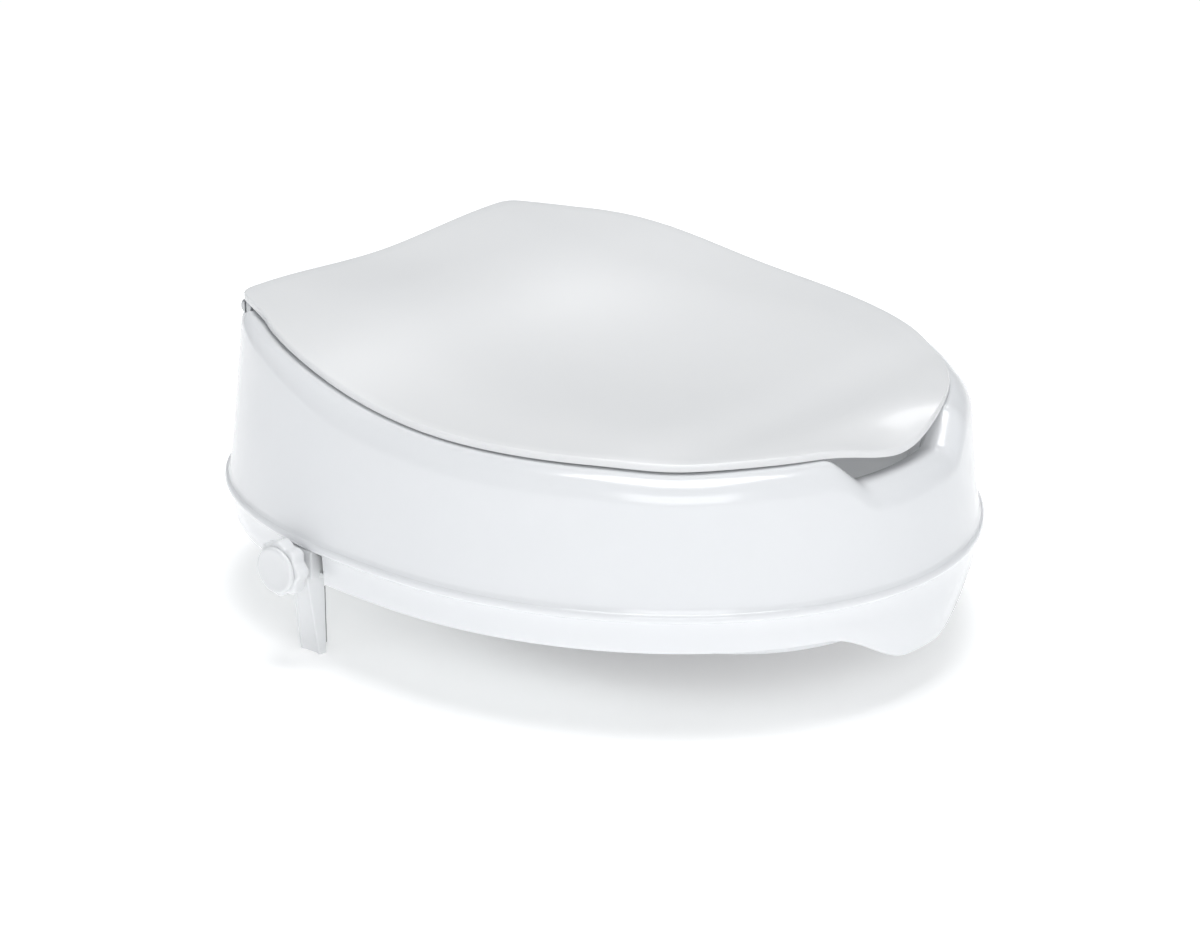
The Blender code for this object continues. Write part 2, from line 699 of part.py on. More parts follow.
def make_washer(name, side):
    profile = [(BEARING_U[1] + GAP, SCREW_RADIUS + GAP), (BEARING_U[1] + GAP, 0.0075),
               (BEARING_U[1] + 0.0018, 0.0075), (BEARING_U[1] + 0.0018, SCREW_RADIUS + GAP)]
    return sweep("thrust_washer_" + name, "steel",
                 along_x(profile, side, CLAMP_Y, BEAD_Z + SCREW_Z))


def make_spindle_clip(name, side):
    profile = [(BEARING_U[0] - 0.0016, SCREW_RADIUS + GAP), (BEARING_U[0] - 0.0016, 0.0062),
               (BEARING_U[0] - GAP, 0.0062), (BEARING_U[0] - GAP, SCREW_RADIUS + GAP)]
    return sweep("spindle_clip_" + name, "steel",
                 along_x(profile, side, CLAMP_Y, BEAD_Z + SCREW_Z))


def make_knob(name, side):
    """Lobed hand knob, bored for the spindle."""
    stations = ((KNOB_U[0], 0.0014), (KNOB_U[0] + 0.0015, 0.0), (KNOB_U[1] - 0.0024, 0.0),
                (KNOB_U[1] - 0.0007, 0.0007), (KNOB_U[1], 0.0022))
    bore = SCREW_RADIUS + GAP
    sections = []
    for i in range(64):
        a = 2 * math.pi * i / 64
        lobe = KNOB_RADIUS + KNOB_LOBE_DEPTH * math.cos(KNOB_LOBES * a)
        loop = [(KNOB_U[0], bore)] + [(u, lobe - cut) for u, cut in stations] + [(KNOB_U[1], bore)]
        sections.append([(side * u, CLAMP_Y + r * math.cos(a), BEAD_Z + SCREW_Z + r * math.sin(a))
                         for u, r in loop])
    return sweep("knob_" + name, "knob_plastic", sections)


def make_knob_cap(name, side):
    profile = [(KNOB_U[1] + GAP, 0), (KNOB_U[1] + GAP, CAP_RADIUS), (CAP_U - 0.0008, CAP_RADIUS),
               (CAP_U - 0.0002, CAP_RADIUS - 0.0006), (CAP_U, CAP_RADIUS - 0.0016), (CAP_U, 0)]
    return turned("knob_cap_" + name, "knob_plastic", profile, side, CLAMP_Y, BEAD_Z + SCREW_Z)


# ---------------------------------------------------------------- assembly

def pivot(name, location, members):
    """Empty on a joint axis that carries the pieces turning about it."""
    empty = bpy.data.objects.new(name, None)
    bpy.context.scene.collection.objects.link(empty)
    empty.location = location
    bpy.context.view_layer.update()
    for member in members:
        member.parent = empty
        member.matrix_parent_inverse = empty.matrix_world.inverted()


def build():
    clear_scene()
    make_seat_shell()
    make_base_ring()
    lid_pieces = [make_lid()]
    for name, x, y in (("front_left", -0.125, -0.085), ("front_right", 0.125, -0.085),
                       ("back_left", -0.140, 0.060), ("back_right", 0.140, 0.060)):
        lid_pieces.append(make_lid_buffer(name, x, y))
    pivot("axis_lid", (0, HINGE_Y, BEAD_Z + HINGE_Z), lid_pieces)
    for number, angle in enumerate(SCREW_ANGLES, 1):
        make_base_screw(number, angle)
    for name, angle in PAD_ANGLES.items():
        make_rest_pad(name, angle)
    for name, side in (("left", -1), ("right", 1)):
        make_hinge_pin(name, side)
        make_hinge_clip(name, side)
        make_washer(name, side)
        turning = [make_spindle(name, side), make_knob(name, side), make_knob_cap(name, side),
                   make_spindle_clip(name, side)]
        sliding = [make_jaw(name, side), make_jaw_pad(name, side), make_nut(name, side)]
        pivot("axis_knob_" + name, (side * KNOB_U[0], CLAMP_Y, BEAD_Z + SCREW_Z), turning)
        pivot("axis_jaw_" + name, (side * LEG_U[0], CLAMP_Y, BEAD_Z + SCREW_Z), sliding)


build()
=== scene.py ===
"""Looks of a raised toilet seat with a hinged lid and two screw clamps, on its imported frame."""
import math

import bmesh
import bpy
from mathutils import Matrix, Vector


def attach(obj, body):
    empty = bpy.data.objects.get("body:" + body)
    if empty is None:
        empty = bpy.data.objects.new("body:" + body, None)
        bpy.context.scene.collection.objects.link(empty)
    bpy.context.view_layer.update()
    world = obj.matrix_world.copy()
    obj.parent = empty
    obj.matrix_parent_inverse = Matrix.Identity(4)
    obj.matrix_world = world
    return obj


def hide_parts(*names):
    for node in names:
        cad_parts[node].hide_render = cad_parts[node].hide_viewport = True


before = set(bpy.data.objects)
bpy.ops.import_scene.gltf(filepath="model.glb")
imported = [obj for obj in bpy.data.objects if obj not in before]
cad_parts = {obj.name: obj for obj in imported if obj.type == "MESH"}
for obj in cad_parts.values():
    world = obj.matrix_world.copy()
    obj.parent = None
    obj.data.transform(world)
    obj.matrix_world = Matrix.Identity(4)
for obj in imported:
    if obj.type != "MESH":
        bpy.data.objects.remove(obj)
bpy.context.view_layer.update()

# ---------------------------------------------------------------- dimensions, in metres
GAP = 0.0003
BEAD_Z = 0.0675           # height of the bead above the clamp feet

CENTRE_Y = 0.004          # widest line of the plan
HALF_WIDTH = 0.185
FRONT = 0.223
BACK = 0.215
POWER_FRONT = 1.97
POWER_BACK = 2.5

HOLE_Y = -0.040
HOLE_HALF_WIDTH = 0.106
HOLE_HALF_LENGTH = 0.142
HOLE_POWER = 2.2

WALL = 0.003
BEAD_RADIUS = 0.0028
BEAD_REACH = 0.0030
SKIRT_INSET = 0.0036
SKIRT_DROP = 0.0210
WALL_DRAFT = 0.096
TOP_FILLET = 0.015
BACK_FILLET = 0.005
HOLE_FILLET = 0.007
COLLAR_DROP = 0.040
COLLAR_DRAFT = 0.05

RIM_Z = 0.0732
RIM_RISE = 0.0248
RISE_Y = 0.068
RISE_SPREAD = 0.033
RIM_DISH = 0.006
SADDLE = 0.0044
SADDLE_X = 0.096
SADDLE_Y = (0.06, 0.16)
FRONT_DIP = 0.0018
FRONT_DIP_Y = -0.136
FRONT_DIP_SPREAD = 0.022
DECK_STEP_Y = 0.161
DECK_STEP = 0.0099

RECESS_DEPTH = 0.016
RECESS_INNER = 0.030
RECESS_OUTER = 0.054
TONGUE_DROP = 0.021
TONGUE_INNER = 0.012
TONGUE_OUTER = 0.066
TONGUE_TAPER = 0.05

LID_INSET = 0.022
LID_THICK = 0.0036
LID_GAP_FRONT = 0.0010
LID_GAP_RISE = 0.0012
LID_LIP = 0.0004
LID_CROWN = 0.0015
LID_DISH = 0.006
DISH_MIDDLE = -0.035
DISH_X = 0.125
DISH_Y = 0.165
LID_NOSE_DROP = 0.0104
LID_BACK_Y = 0.1775
LID_CORNER = 0.009
LID_SHOULDER_Y = 0.139
LID_SHOULDER_X = 0.132
LID_SHOULDER_SLOPE = 0.5
LID_RINGS = 21            # rings of faces between the edge and the middle fan
LID_RING_STEP = 0.045

HINGE_Y = 0.1735
HINGE_Z = 0.0938
KNUCKLE_RADIUS = 0.0042
LUG_X = (0.095, 0.1108)
EAR_X = (0.070, 0.092)
PIN_RADIUS = 0.0025
PIN_HOLE = 0.0028

CLAMP_Y = 0.0717
SCREW_Z = -0.0113
SCREW_RADIUS = 0.004
THREAD_LEAD = 0.003
LEG_U = (0.139, 0.180)
LEG_HALF = 0.010
LEG_Z = (-0.0199, -0.0035)
FLANGE_HALF = 0.013
FLANGE_Z = (-0.0172, -0.0142)
ARM_FOOT_Z = -0.0675
ARM_INNER_U = 0.168
ARM_TOP_U = 0.180
ARM_FOOT_U = 0.173
NUT_U = (0.1438, 0.1503)
NUT_FLAT = 0.013
JAW_PAD_Z = (-0.0625, -0.0290)
JAW_PAD_GROOVES = 7
SPINDLE_U = (0.1100, 0.1944)
THREAD_END = 0.1855
THRUST_COLLAR_RADIUS = 0.0065
TUNNEL_WALL = 0.0025
BEARING_U = (0.115, 0.119)
KNOB_U = (0.1865, 0.1955)
KNOB_RADIUS = 0.0150
KNOB_LOBES = 8
KNOB_LOBE_DEPTH = 0.0010
CAP_RADIUS = 0.0129
CAP_U = 0.1985
NOTCH_U = (0.150, 0.21)
NOTCH_Y = (0.054, 0.089)
NOTCH_TOP = -0.0032

PLATE_Z = (-0.0205, -0.0175)
PLATE_LIP = 0.008
PLATE_LIP_THICK = 0.0022
BOSS_RADIUS = 0.0045
SCREW_HOLE = 0.0021
SCREW_ANGLES = (-125, -55, -168, -12, 62, 118)
RIB_ANGLES = (-140, -110, -70, -40, -5, 185, 45, 135, 75, 105)
PAD_ANGLES = {"front_left": -142, "front_right": -38, "back_left": 132, "back_right": 48}
BUFFERS = {"front_left": (-0.125, -0.085), "front_right": (0.125, -0.085),
           "back_left": (-0.140, 0.060), "back_right": (0.140, 0.060)}

FINE = 360                # stations round the seat
SIDES = (("left", -1), ("right", 1))


# ---------------------------------------------------------------- small maths

def smooth_step(value, start, end):
    u = min(max((value - start) / (end - start), 0.0), 1.0)
    return u * u * (3 - 2 * u)


def power(value, exponent):
    return math.copysign(abs(value) ** exponent, value)


def steps(count, turn=2 * math.pi):
    return [turn * i / count for i in range(count)]


def fan(first, last, count):
    """Evenly spaced angles in radians from two limits in degrees, both included."""
    return [math.radians(first + (last - first) * i / (count - 1)) for i in range(count)]


def soften(points, radius, count=4, closed=False):
    """Round every corner of a line of 2D or 3D points."""
    points = [Vector(p) for p in points]
    made = []
    for i, corner in enumerate(points):
        if not closed and i in (0, len(points) - 1):
            made.append(corner)
            continue
        before = points[i - 1] - corner
        after = points[(i + 1) % len(points)] - corner
        reach = min(radius, 0.45 * before.length, 0.45 * after.length)
        start = corner + before.normalized() * reach
        end = corner + after.normalized() * reach
        for k in range(count + 1):
            s = k / count
            made.append(start * (1 - s) ** 2 + corner * 2 * s * (1 - s) + end * s * s)
    return made


def even(points, count):
    """The closed line through points, divided into count equal steps."""
    ends = points[1:] + points[:1]
    lengths = [(b - a).length for a, b in zip(points, ends)]
    step = sum(lengths) / count
    made = []
    walked = 0.0
    for a, b, length in zip(points, ends, lengths):
        while len(made) * step < walked + length and len(made) < count:
            made.append(a.lerp(b, (len(made) * step - walked) / length))
        walked += length
    return made


# ---------------------------------------------------------------- shared curves of the seat

def outline(t, inset):
    c = math.cos(t)
    s = math.sin(t)
    reach, n = (BACK, POWER_BACK) if s >= 0 else (FRONT, POWER_FRONT)
    return Vector(((HALF_WIDTH - inset) * power(c, 2 / n),
                   CENTRE_Y + (reach - inset) * power(s, 2 / n)))


def hole_outline(t, inset=0.0):
    e = 2 / HOLE_POWER
    return Vector(((HOLE_HALF_WIDTH - inset) * power(math.cos(t), e),
                   HOLE_Y + (HOLE_HALF_LENGTH - inset) * power(math.sin(t), e)))


def rise(y):
    return 1 / (1 + math.exp(-(y - RISE_Y) / RISE_SPREAD))


def saddle(x, y):
    back = SADDLE * (1 - smooth_step(abs(x), 0.0, SADDLE_X)) * smooth_step(y, *SADDLE_Y)
    return back + FRONT_DIP * math.exp(-((y - FRONT_DIP_Y) / FRONT_DIP_SPREAD) ** 2)


def rim_height(x, y):
    z = RIM_Z + RIM_RISE * rise(y) - saddle(x, y)
    z -= DECK_STEP * smooth_step(y, DECK_STEP_Y - 0.006, DECK_STEP_Y)
    if y < 0:
        z -= RECESS_DEPTH * (1 - smooth_step(abs(x), RECESS_INNER, RECESS_OUTER))
    return z


def tongue_drop(x, y):
    if y > 0:
        return 0.0
    return TONGUE_DROP * (1 - smooth_step(abs(x), TONGUE_INNER, TONGUE_OUTER))


def lid_top(x, y):
    z = RIM_Z + LID_GAP_FRONT + LID_THICK + (RIM_RISE + LID_GAP_RISE) * rise(y)
    across = 1 - (x / HALF_WIDTH) ** 2
    z += LID_CROWN * across * smooth_step(y, -0.21, -0.10) * (1 - smooth_step(y, 0.08, 0.17))
    spot = (x / DISH_X) ** 2 + ((y - DISH_MIDDLE) / DISH_Y) ** 2
    z -= LID_DISH * max(0.0, 1 - spot) ** 2
    nose = (1 - smooth_step(y, -0.205, -0.165)) * (1 - smooth_step(abs(x), 0.0, 0.062))
    return z - LID_NOSE_DROP * nose - saddle(x, y)


def lid_plan(count):
    """Plan of the lid: the seat's outline in front, two shoulders and a straight back."""
    start = math.asin(((LID_SHOULDER_Y - CENTRE_Y) / (BACK - LID_INSET)) ** (POWER_BACK / 2))
    sweep = math.pi + 2 * start
    front = [outline(start - sweep * i / 300, LID_INSET) for i in range(301)]
    corner = Vector((LID_SHOULDER_X - LID_SHOULDER_SLOPE * (LID_BACK_Y - LID_SHOULDER_Y), LID_BACK_Y))
    mirrored = Vector((-corner.x, corner.y))
    back = soften([front[-1], mirrored, corner, front[0]], LID_CORNER, 10)
    return even(front[:-1] + back[:-1], count)


def ring_middle(angle):
    t = math.radians(angle)
    return outline(t, 0.012).lerp(hole_outline(t, -0.004), 0.5)


# ---------------------------------------------------------------- mesh builders

def finish_mesh(bm, name, sharp=32):
    bmesh.ops.recalc_face_normals(bm, faces=bm.faces[:])
    data = bpy.data.meshes.new(name)
    bm.to_mesh(data)
    bm.free()
    made = bpy.data.objects.new(name, data)
    bpy.context.scene.collection.objects.link(made)
    smooth(made, sharp)
    return made


def smooth(piece, sharp=32):
    piece.data.shade_smooth()
    piece.data.set_sharp_from_angle(angle=math.radians(sharp))


def tube(name, sections, closed=True, sharp=32):
    """Skin over equal-length closed sections, joined end to end or capped."""
    bm = bmesh.new()
    rings = [[bm.verts.new(p) for p in section] for section in sections]
    pairs = list(zip(rings, rings[1:]))
    if closed:
        pairs.append((rings[-1], rings[0]))
    for one, two in pairs:
        for i in range(len(one)):
            j = (i + 1) % len(one)
            bm.faces.new((one[i], one[j], two[j], two[i]))
    if not closed:
        bm.faces.new(rings[0])
        bm.faces.new(rings[-1])
    return finish_mesh(bm, name, sharp)


def lathe(name, profile, place, count=64, sharp=32, swell=None):
    """Turn (along, radius) points about a line.  place(along, a, b) puts a point in the world.

    A profile whose ends have no radius is a solid; otherwise it closes on itself as a ring.
    swell(angle, radius) may change the radius round the turn.
    """
    bm = bmesh.new()
    solid = profile[0][1] == 0
    inner = profile[1:-1] if solid else profile
    rings = []
    for a in steps(count):
        ring = []
        for u, r in inner:
            r = swell(a, r) if swell else r
            ring.append(bm.verts.new(place(u, r * math.cos(a), r * math.sin(a))))
        rings.append(ring)
    if solid:
        ends = [bm.verts.new(place(profile[k][0], 0, 0)) for k in (0, -1)]
    for i in range(count):
        one = rings[i]
        two = rings[(i + 1) % count]
        for k in range(len(inner) - 1 if solid else len(inner)):
            j = (k + 1) % len(inner)
            bm.faces.new((one[k], one[j], two[j], two[k]))
        if solid:
            bm.faces.new((ends[0], one[0], two[0]))
            bm.faces.new((ends[1], two[-1], one[-1]))
    return finish_mesh(bm, name, sharp)


def across_seat(side, y, z):
    """Placing rule for turned pieces on a line along X; u is the reach from the middle."""
    return lambda u, a, b: (side * u, y + a, BEAD_Z + z + b)


def upright(x, y):
    return lambda u, a, b: (x + a, y + b, u)


def block(name, low, high, bevel=0.0, segments=3):
    bm = bmesh.new()
    size = Vector(high) - Vector(low)
    middle = (Vector(high) + Vector(low)) / 2
    matrix = Matrix.Translation(middle) @ Matrix.Diagonal((*size, 1))
    bmesh.ops.create_cube(bm, size=1.0, matrix=matrix)
    if bevel:
        bmesh.ops.bevel(bm, geom=bm.edges[:], offset=bevel, segments=segments, profile=0.5,
                        affect="EDGES")
    return finish_mesh(bm, name)


def side_block(name, side, u, y, z, bevel=0.0):
    xs = sorted((side * u[0], side * u[1]))
    return block(name, (xs[0], y[0], BEAD_Z + z[0]), (xs[1], y[1], BEAD_Z + z[1]), bevel)


def split_quads(target):
    """Divide faces along their shorter diagonal, so that thin walls stay apart."""
    bm = bmesh.new()
    bm.from_mesh(target.data)
    bmesh.ops.triangulate(bm, faces=bm.faces[:], quad_method="SHORT_EDGE")
    bm.to_mesh(target.data)
    bm.free()


def combine(target, others, operation, sharp=32):
    for other in others:
        modifier = target.modifiers.new("cut", "BOOLEAN")
        modifier.operation = operation
        modifier.solver = "EXACT"
        modifier.object = other
        graph = bpy.context.evaluated_depsgraph_get()
        data = bpy.data.meshes.new_from_object(target.evaluated_get(graph))
        target.modifiers.clear()
        old = target.data
        target.data = data
        bpy.data.meshes.remove(old)
        bpy.data.objects.remove(other, do_unlink=True)
    bm = bmesh.new()
    bm.from_mesh(target.data)
    bmesh.ops.remove_doubles(bm, verts=bm.verts[:], dist=0.00001)
    bmesh.ops.dissolve_degenerate(bm, edges=bm.edges[:], dist=0.00001)
    bm.to_mesh(target.data)
    bm.free()
    smooth(target, sharp)
    return target


def place_piece(piece, body, node, finish):
    """Give a piece its material and let it stand for its CAD node."""
    piece.data.materials.clear()
    piece.data.materials.append(finish)
    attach(piece, body)
    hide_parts(node)
    return piece


# ---------------------------------------------------------------- materials

def nodes_of(name):
    made = bpy.data.materials.new(name)
    made.use_nodes = True
    tree = made.node_tree
    return made, tree, tree.nodes["Principled BSDF"]


def noise(tree, scale, detail=3.0, stretch=(1, 1, 1)):
    """Noise in the object's own metres."""
    place = tree.nodes.new("ShaderNodeTexCoord")
    scaled = tree.nodes.new("ShaderNodeMapping")
    scaled.inputs["Scale"].default_value = stretch
    made = tree.nodes.new("ShaderNodeTexNoise")
    made.inputs["Scale"].default_value = scale
    made.inputs["Detail"].default_value = detail
    tree.links.new(place.outputs["Object"], scaled.inputs["Vector"])
    tree.links.new(scaled.outputs["Vector"], made.inputs["Vector"])
    return made.outputs["Fac"]


def spread(tree, source, low, high, start=0.3, end=0.7):
    """Map a noise onto a range of values."""
    made = tree.nodes.new("ShaderNodeMapRange")
    made.inputs["From Min"].default_value = start
    made.inputs["From Max"].default_value = end
    made.inputs["To Min"].default_value = low
    made.inputs["To Max"].default_value = high
    tree.links.new(source, made.inputs["Value"])
    return made.outputs["Result"]


def mix_colour(tree, share, one, two):
    made = tree.nodes.new("ShaderNodeMix")
    made.data_type = "RGBA"
    tree.links.new(share, made.inputs["Factor"])
    for socket, colour in ((made.inputs["A"], one), (made.inputs["B"], two)):
        if isinstance(colour, tuple):
            socket.default_value = (*colour, 1)
        else:
            tree.links.new(colour, socket)
    return made.outputs["Result"]


def bump(tree, height, strength, distance, below=None):
    made = tree.nodes.new("ShaderNodeBump")
    made.inputs["Strength"].default_value = strength
    made.inputs["Distance"].default_value = distance
    tree.links.new(height, made.inputs["Height"])
    if below:
        tree.links.new(below, made.inputs["Normal"])
    return made.outputs["Normal"]


def plastic(name, tint, shade, roughness, coat=0.3, grain=0.02, waves=0.10):
    """Moulded plastic: faint mottling, sink waves, fine orange peel and a painted highlight on sharp
    edges.
    """
    made, tree, shader = nodes_of(name)
    edge = tree.nodes.new("ShaderNodeNewGeometry").outputs["Pointiness"]
    mottled = mix_colour(tree, spread(tree, noise(tree, 11, 2), 0, 1), tint, shade)
    # painted highlight: sharp convex edges get a 3 % lighter copy of the tint
    painted_edge_highlight = mix_colour(tree, spread(tree, edge, 0, 0.5, 0.52, 0.62), mottled,
                      tuple(min(1.0, c * 1.03) for c in tint))
    tree.links.new(painted_edge_highlight, shader.inputs["Base Color"])
    rough = spread(tree, noise(tree, 26, 1), roughness - 0.008, roughness + 0.012)
    tree.links.new(rough, shader.inputs["Roughness"])
    sunk = bump(tree, noise(tree, 16, 1), waves, 0.0006)
    peel = bump(tree, noise(tree, 420, 1), grain, 0.00003, sunk)
    tree.links.new(peel, shader.inputs["Normal"])
    shader.inputs["IOR"].default_value = 1.49
    shader.inputs["Coat Weight"].default_value = coat
    shader.inputs["Coat Roughness"].default_value = 0.07
    shader.inputs["Subsurface Weight"].default_value = 0.06
    shader.inputs["Subsurface Radius"].default_value = (0.004, 0.004, 0.004)
    shader.inputs["Subsurface Scale"].default_value = 0.5
    return made


def rubber(name):
    made, tree, shader = nodes_of(name)
    colour = mix_colour(tree, spread(tree, noise(tree, 420, 5), 0, 1), (0.20, 0.205, 0.21),
                        (0.29, 0.295, 0.30))
    tree.links.new(colour, shader.inputs["Base Color"])
    tree.links.new(spread(tree, noise(tree, 260, 3), 0.62, 0.85), shader.inputs["Roughness"])
    tree.links.new(bump(tree, noise(tree, 2400, 3), 0.35, 0.0001), shader.inputs["Normal"])
    shader.inputs["Sheen Weight"].default_value = 0.15
    return made


def steel(name, stretch):
    """Zinc-plated steel with turning marks drawn out along the given stretch."""
    made, tree, shader = nodes_of(name)
    marks = noise(tree, 900, 4, stretch)
    colour = mix_colour(tree, spread(tree, noise(tree, 160, 4), 0, 1), (0.60, 0.61, 0.62),
                        (0.46, 0.47, 0.48))
    tree.links.new(colour, shader.inputs["Base Color"])
    tree.links.new(spread(tree, marks, 0.22, 0.42), shader.inputs["Roughness"])
    tree.links.new(bump(tree, marks, 0.15, 0.00005), shader.inputs["Normal"])
    shader.inputs["Metallic"].default_value = 1.0
    return made


# ---------------------------------------------------------------- seat shell

def top_fillet(y):
    return TOP_FILLET + (BACK_FILLET - TOP_FILLET) * smooth_step(y, 0.02, 0.15)


def outer_side(t, skin):
    """Outside of the wall from the skirt edge to the rim, moved inwards by skin."""
    foot = outline(t, SKIRT_INSET)
    drop = tongue_drop(foot.x, foot.y)
    top = outline(t, 0.0238)
    rim = rim_height(top.x, top.y)
    low = SKIRT_INSET + 0.0012 + TONGUE_TAPER * drop
    points = [(low + skin, -SKIRT_DROP - drop),
              (SKIRT_INSET + 0.0006 + 0.4 * TONGUE_TAPER * drop + skin,
               -0.55 * SKIRT_DROP - 0.4 * drop),
              (SKIRT_INSET + skin, -BEAD_RADIUS - 0.0010)]
    if skin == 0:
        points[0] = (low, -SKIRT_DROP - drop + 0.0007)
        points.insert(0, (low + 0.0002, -SKIRT_DROP - drop + 0.0002))
        points.insert(0, (low + 0.0007, -SKIRT_DROP - drop))
        points.append((SKIRT_INSET - 0.0003, -BEAD_RADIUS - 0.0002))
        for a in fan(-80, 70, 12):
            points.append((BEAD_RADIUS * (1 - math.cos(a)), BEAD_RADIUS * math.sin(a)))
        points.append((BEAD_REACH - 0.0007, 0.0034))
        points.append((BEAD_REACH - 0.0002, 0.0045))
    points.append((BEAD_REACH + skin, 2 * BEAD_RADIUS))
    fillet = top_fillet(top.y)
    start = rim - fillet
    inset = BEAD_REACH + WALL_DRAFT * start
    for share in (0.3, 0.65):
        points.append((BEAD_REACH + WALL_DRAFT * start * share + skin, start * share))
    radius = fillet - skin
    for a in fan(0, 90, 13):
        points.append((inset + fillet - radius * math.cos(a), start + radius * math.sin(a)))
    made = []
    for step, height in points:
        p = outline(t, step)
        made.append(Vector((p.x, p.y, BEAD_Z + height)))
    return made


def seat_side(t, skin):
    """Rim, rounded aperture edge and collar, from the outside in, moved by skin."""
    start = outline(t, 0.027)
    edge = hole_outline(t)
    out = (start - edge).normalized()
    shoulder = edge + out * HOLE_FILLET
    made = []
    for s in (0.08, 0.2, 0.32, 0.45, 0.58, 0.7, 0.8, 0.9, 1.0):
        p = start.lerp(shoulder, s)
        height = rim_height(p.x, p.y) - RIM_DISH * s * s - skin
        made.append(Vector((p.x, p.y, BEAD_Z + height)))
    low = made[-1].z - HOLE_FILLET + skin
    radius = HOLE_FILLET - skin
    for a in fan(82, 0, 8) if skin == 0 else fan(60, 0, 3):
        p = shoulder - out * radius * math.cos(a)
        made.append(Vector((p.x, p.y, low + radius * math.sin(a))))
    foot = edge - out * (COLLAR_DRAFT * (low - BEAD_Z + COLLAR_DROP) - skin)
    if skin == 0:
        made.append(Vector((foot.x, foot.y, BEAD_Z - COLLAR_DROP + 0.0008)))
        foot = foot + out * 0.0008
    made.append(Vector((foot.x, foot.y, BEAD_Z - COLLAR_DROP)))
    return made


def shell_section(t):
    return outer_side(t, 0.0) + seat_side(t, 0.0) + (outer_side(t, WALL) + seat_side(t, WALL))[::-1]


def pin_bore(side):
    return lathe("bore", [(0.04, 0), (0.04, PIN_HOLE), (0.13, PIN_HOLE), (0.13, 0)],
                 across_seat(side, HINGE_Y, HINGE_Z))


def hinge_lug(side):
    """Rounded post on the rear deck that carries the hinge pin."""
    r = KNUCKLE_RADIUS
    half = [(HINGE_Y + r * math.cos(a), HINGE_Z + r * math.sin(a)) for a in fan(0, 180, 17)]
    foot = [(HINGE_Y - r - 0.0014, 0.0862), (HINGE_Y + r + 0.0014, 0.0862)]
    loop = [(HINGE_Y - r, 0.0900), (HINGE_Y - r - 0.0003, 0.0886), *foot,
            (HINGE_Y + r + 0.0003, 0.0886), (HINGE_Y + r, 0.0900)] + half[1:-1]
    width = LUG_X[1] - LUG_X[0]
    sections = []
    for u, squeeze in ((0, 0.0004), (0.0004, 0), (width - 0.0004, 0), (width, 0.0004)):
        middle = Vector((HINGE_Y, HINGE_Z - 0.002))
        ring = [Vector(p) + (middle - Vector(p)).normalized() * squeeze for p in loop]
        sections.append([(side * (LUG_X[0] + u), p.x, BEAD_Z + p.y) for p in ring])
    return tube("lug", sections, closed=False)


def make_seat_shell(finish):
    shell = tube("seat_shell_moulding", [shell_section(t) for t in steps(FINE)])
    split_quads(shell)
    adds = [hinge_lug(side) for _, side in SIDES]
    for angle in SCREW_ANGLES:
        p = ring_middle(angle)
        low = BEAD_Z + PLATE_Z[1] + GAP
        high = BEAD_Z + rim_height(p.x, p.y) - 0.0030
        adds.append(lathe("boss", [(low, 0), (low, BOSS_RADIUS), (high, BOSS_RADIUS), (high, 0)],
                          upright(*p), 32))
    combine(shell, adds, "UNION")
    cuts = [pin_bore(side) for _, side in SIDES]
    for _, side in SIDES:
        cuts.append(side_block("notch", side, NOTCH_U, NOTCH_Y, (-0.05, NOTCH_TOP), 0.0015))
    combine(shell, cuts, "DIFFERENCE")
    return place_piece(shell, "seat", "seat_shell", finish)


# ---------------------------------------------------------------- base ring

def base_section(t):
    edge = hole_outline(t)
    out = (outline(t, 0.027) - edge).normalized()
    shoulder = edge + out * HOLE_FILLET
    fall = rim_height(shoulder.x, shoulder.y) - RIM_DISH - HOLE_FILLET - PLATE_Z[1] - PLATE_LIP
    inner = edge + out * (WALL + 0.0006 - COLLAR_DRAFT * fall)
    foot = outline(t, SKIRT_INSET)
    taper = 0.42 * TONGUE_TAPER * tongue_drop(foot.x, foot.y)
    outer = outline(t, SKIRT_INSET + 0.0018 + WALL + taper)
    across = (outer - inner).normalized() * PLATE_LIP_THICK
    low, high = (BEAD_Z + z for z in PLATE_Z)
    lip = high + PLATE_LIP
    stations = [(outer, low), (outer, lip), (outer - across, lip), (outer - across, high),
                (inner + across, high), (inner + across, lip), (inner, lip), (inner, low)]
    return soften([(p.x, p.y, z) for p, z in stations], 0.0008, 3, closed=True)


def radial_rib(angle):
    t = math.radians(angle)
    outer = outline(t, 0.0125)
    inner = hole_outline(t, -0.001)
    middle = (outer + inner) / 2
    low = BEAD_Z + PLATE_Z[0] + 0.001
    high = BEAD_Z + PLATE_Z[1] + 0.006
    turn = math.atan2(outer.y - inner.y, outer.x - inner.x)
    bm = bmesh.new()
    matrix = (Matrix.Translation((middle.x, middle.y, (low + high) / 2))
              @ Matrix.Rotation(turn, 4, "Z")
              @ Matrix.Diagonal(((outer - inner).length, 0.002, high - low, 1)))
    bmesh.ops.create_cube(bm, size=1.0, matrix=matrix)
    return finish_mesh(bm, "rib")


def tunnel_cuts(side):
    half = FLANGE_HALF + GAP
    top = LEG_Z[1] + 0.0005
    hollow = side_block("hollow", side, (BEARING_U[1], 0.20), (CLAMP_Y - half, CLAMP_Y + half),
                        (PLATE_Z[1], top))
    slot = side_block("slot", side, (BEARING_U[1], 0.20),
                      (CLAMP_Y - LEG_HALF - GAP, CLAMP_Y + LEG_HALF + GAP),
                      (-0.05, PLATE_Z[1] + 0.001))
    r = SCREW_RADIUS + GAP
    hole = lathe("hole", [(0.10, 0), (0.10, r), (0.125, r), (0.125, 0)],
                 across_seat(side, CLAMP_Y, SCREW_Z))
    return [hollow, slot, hole]


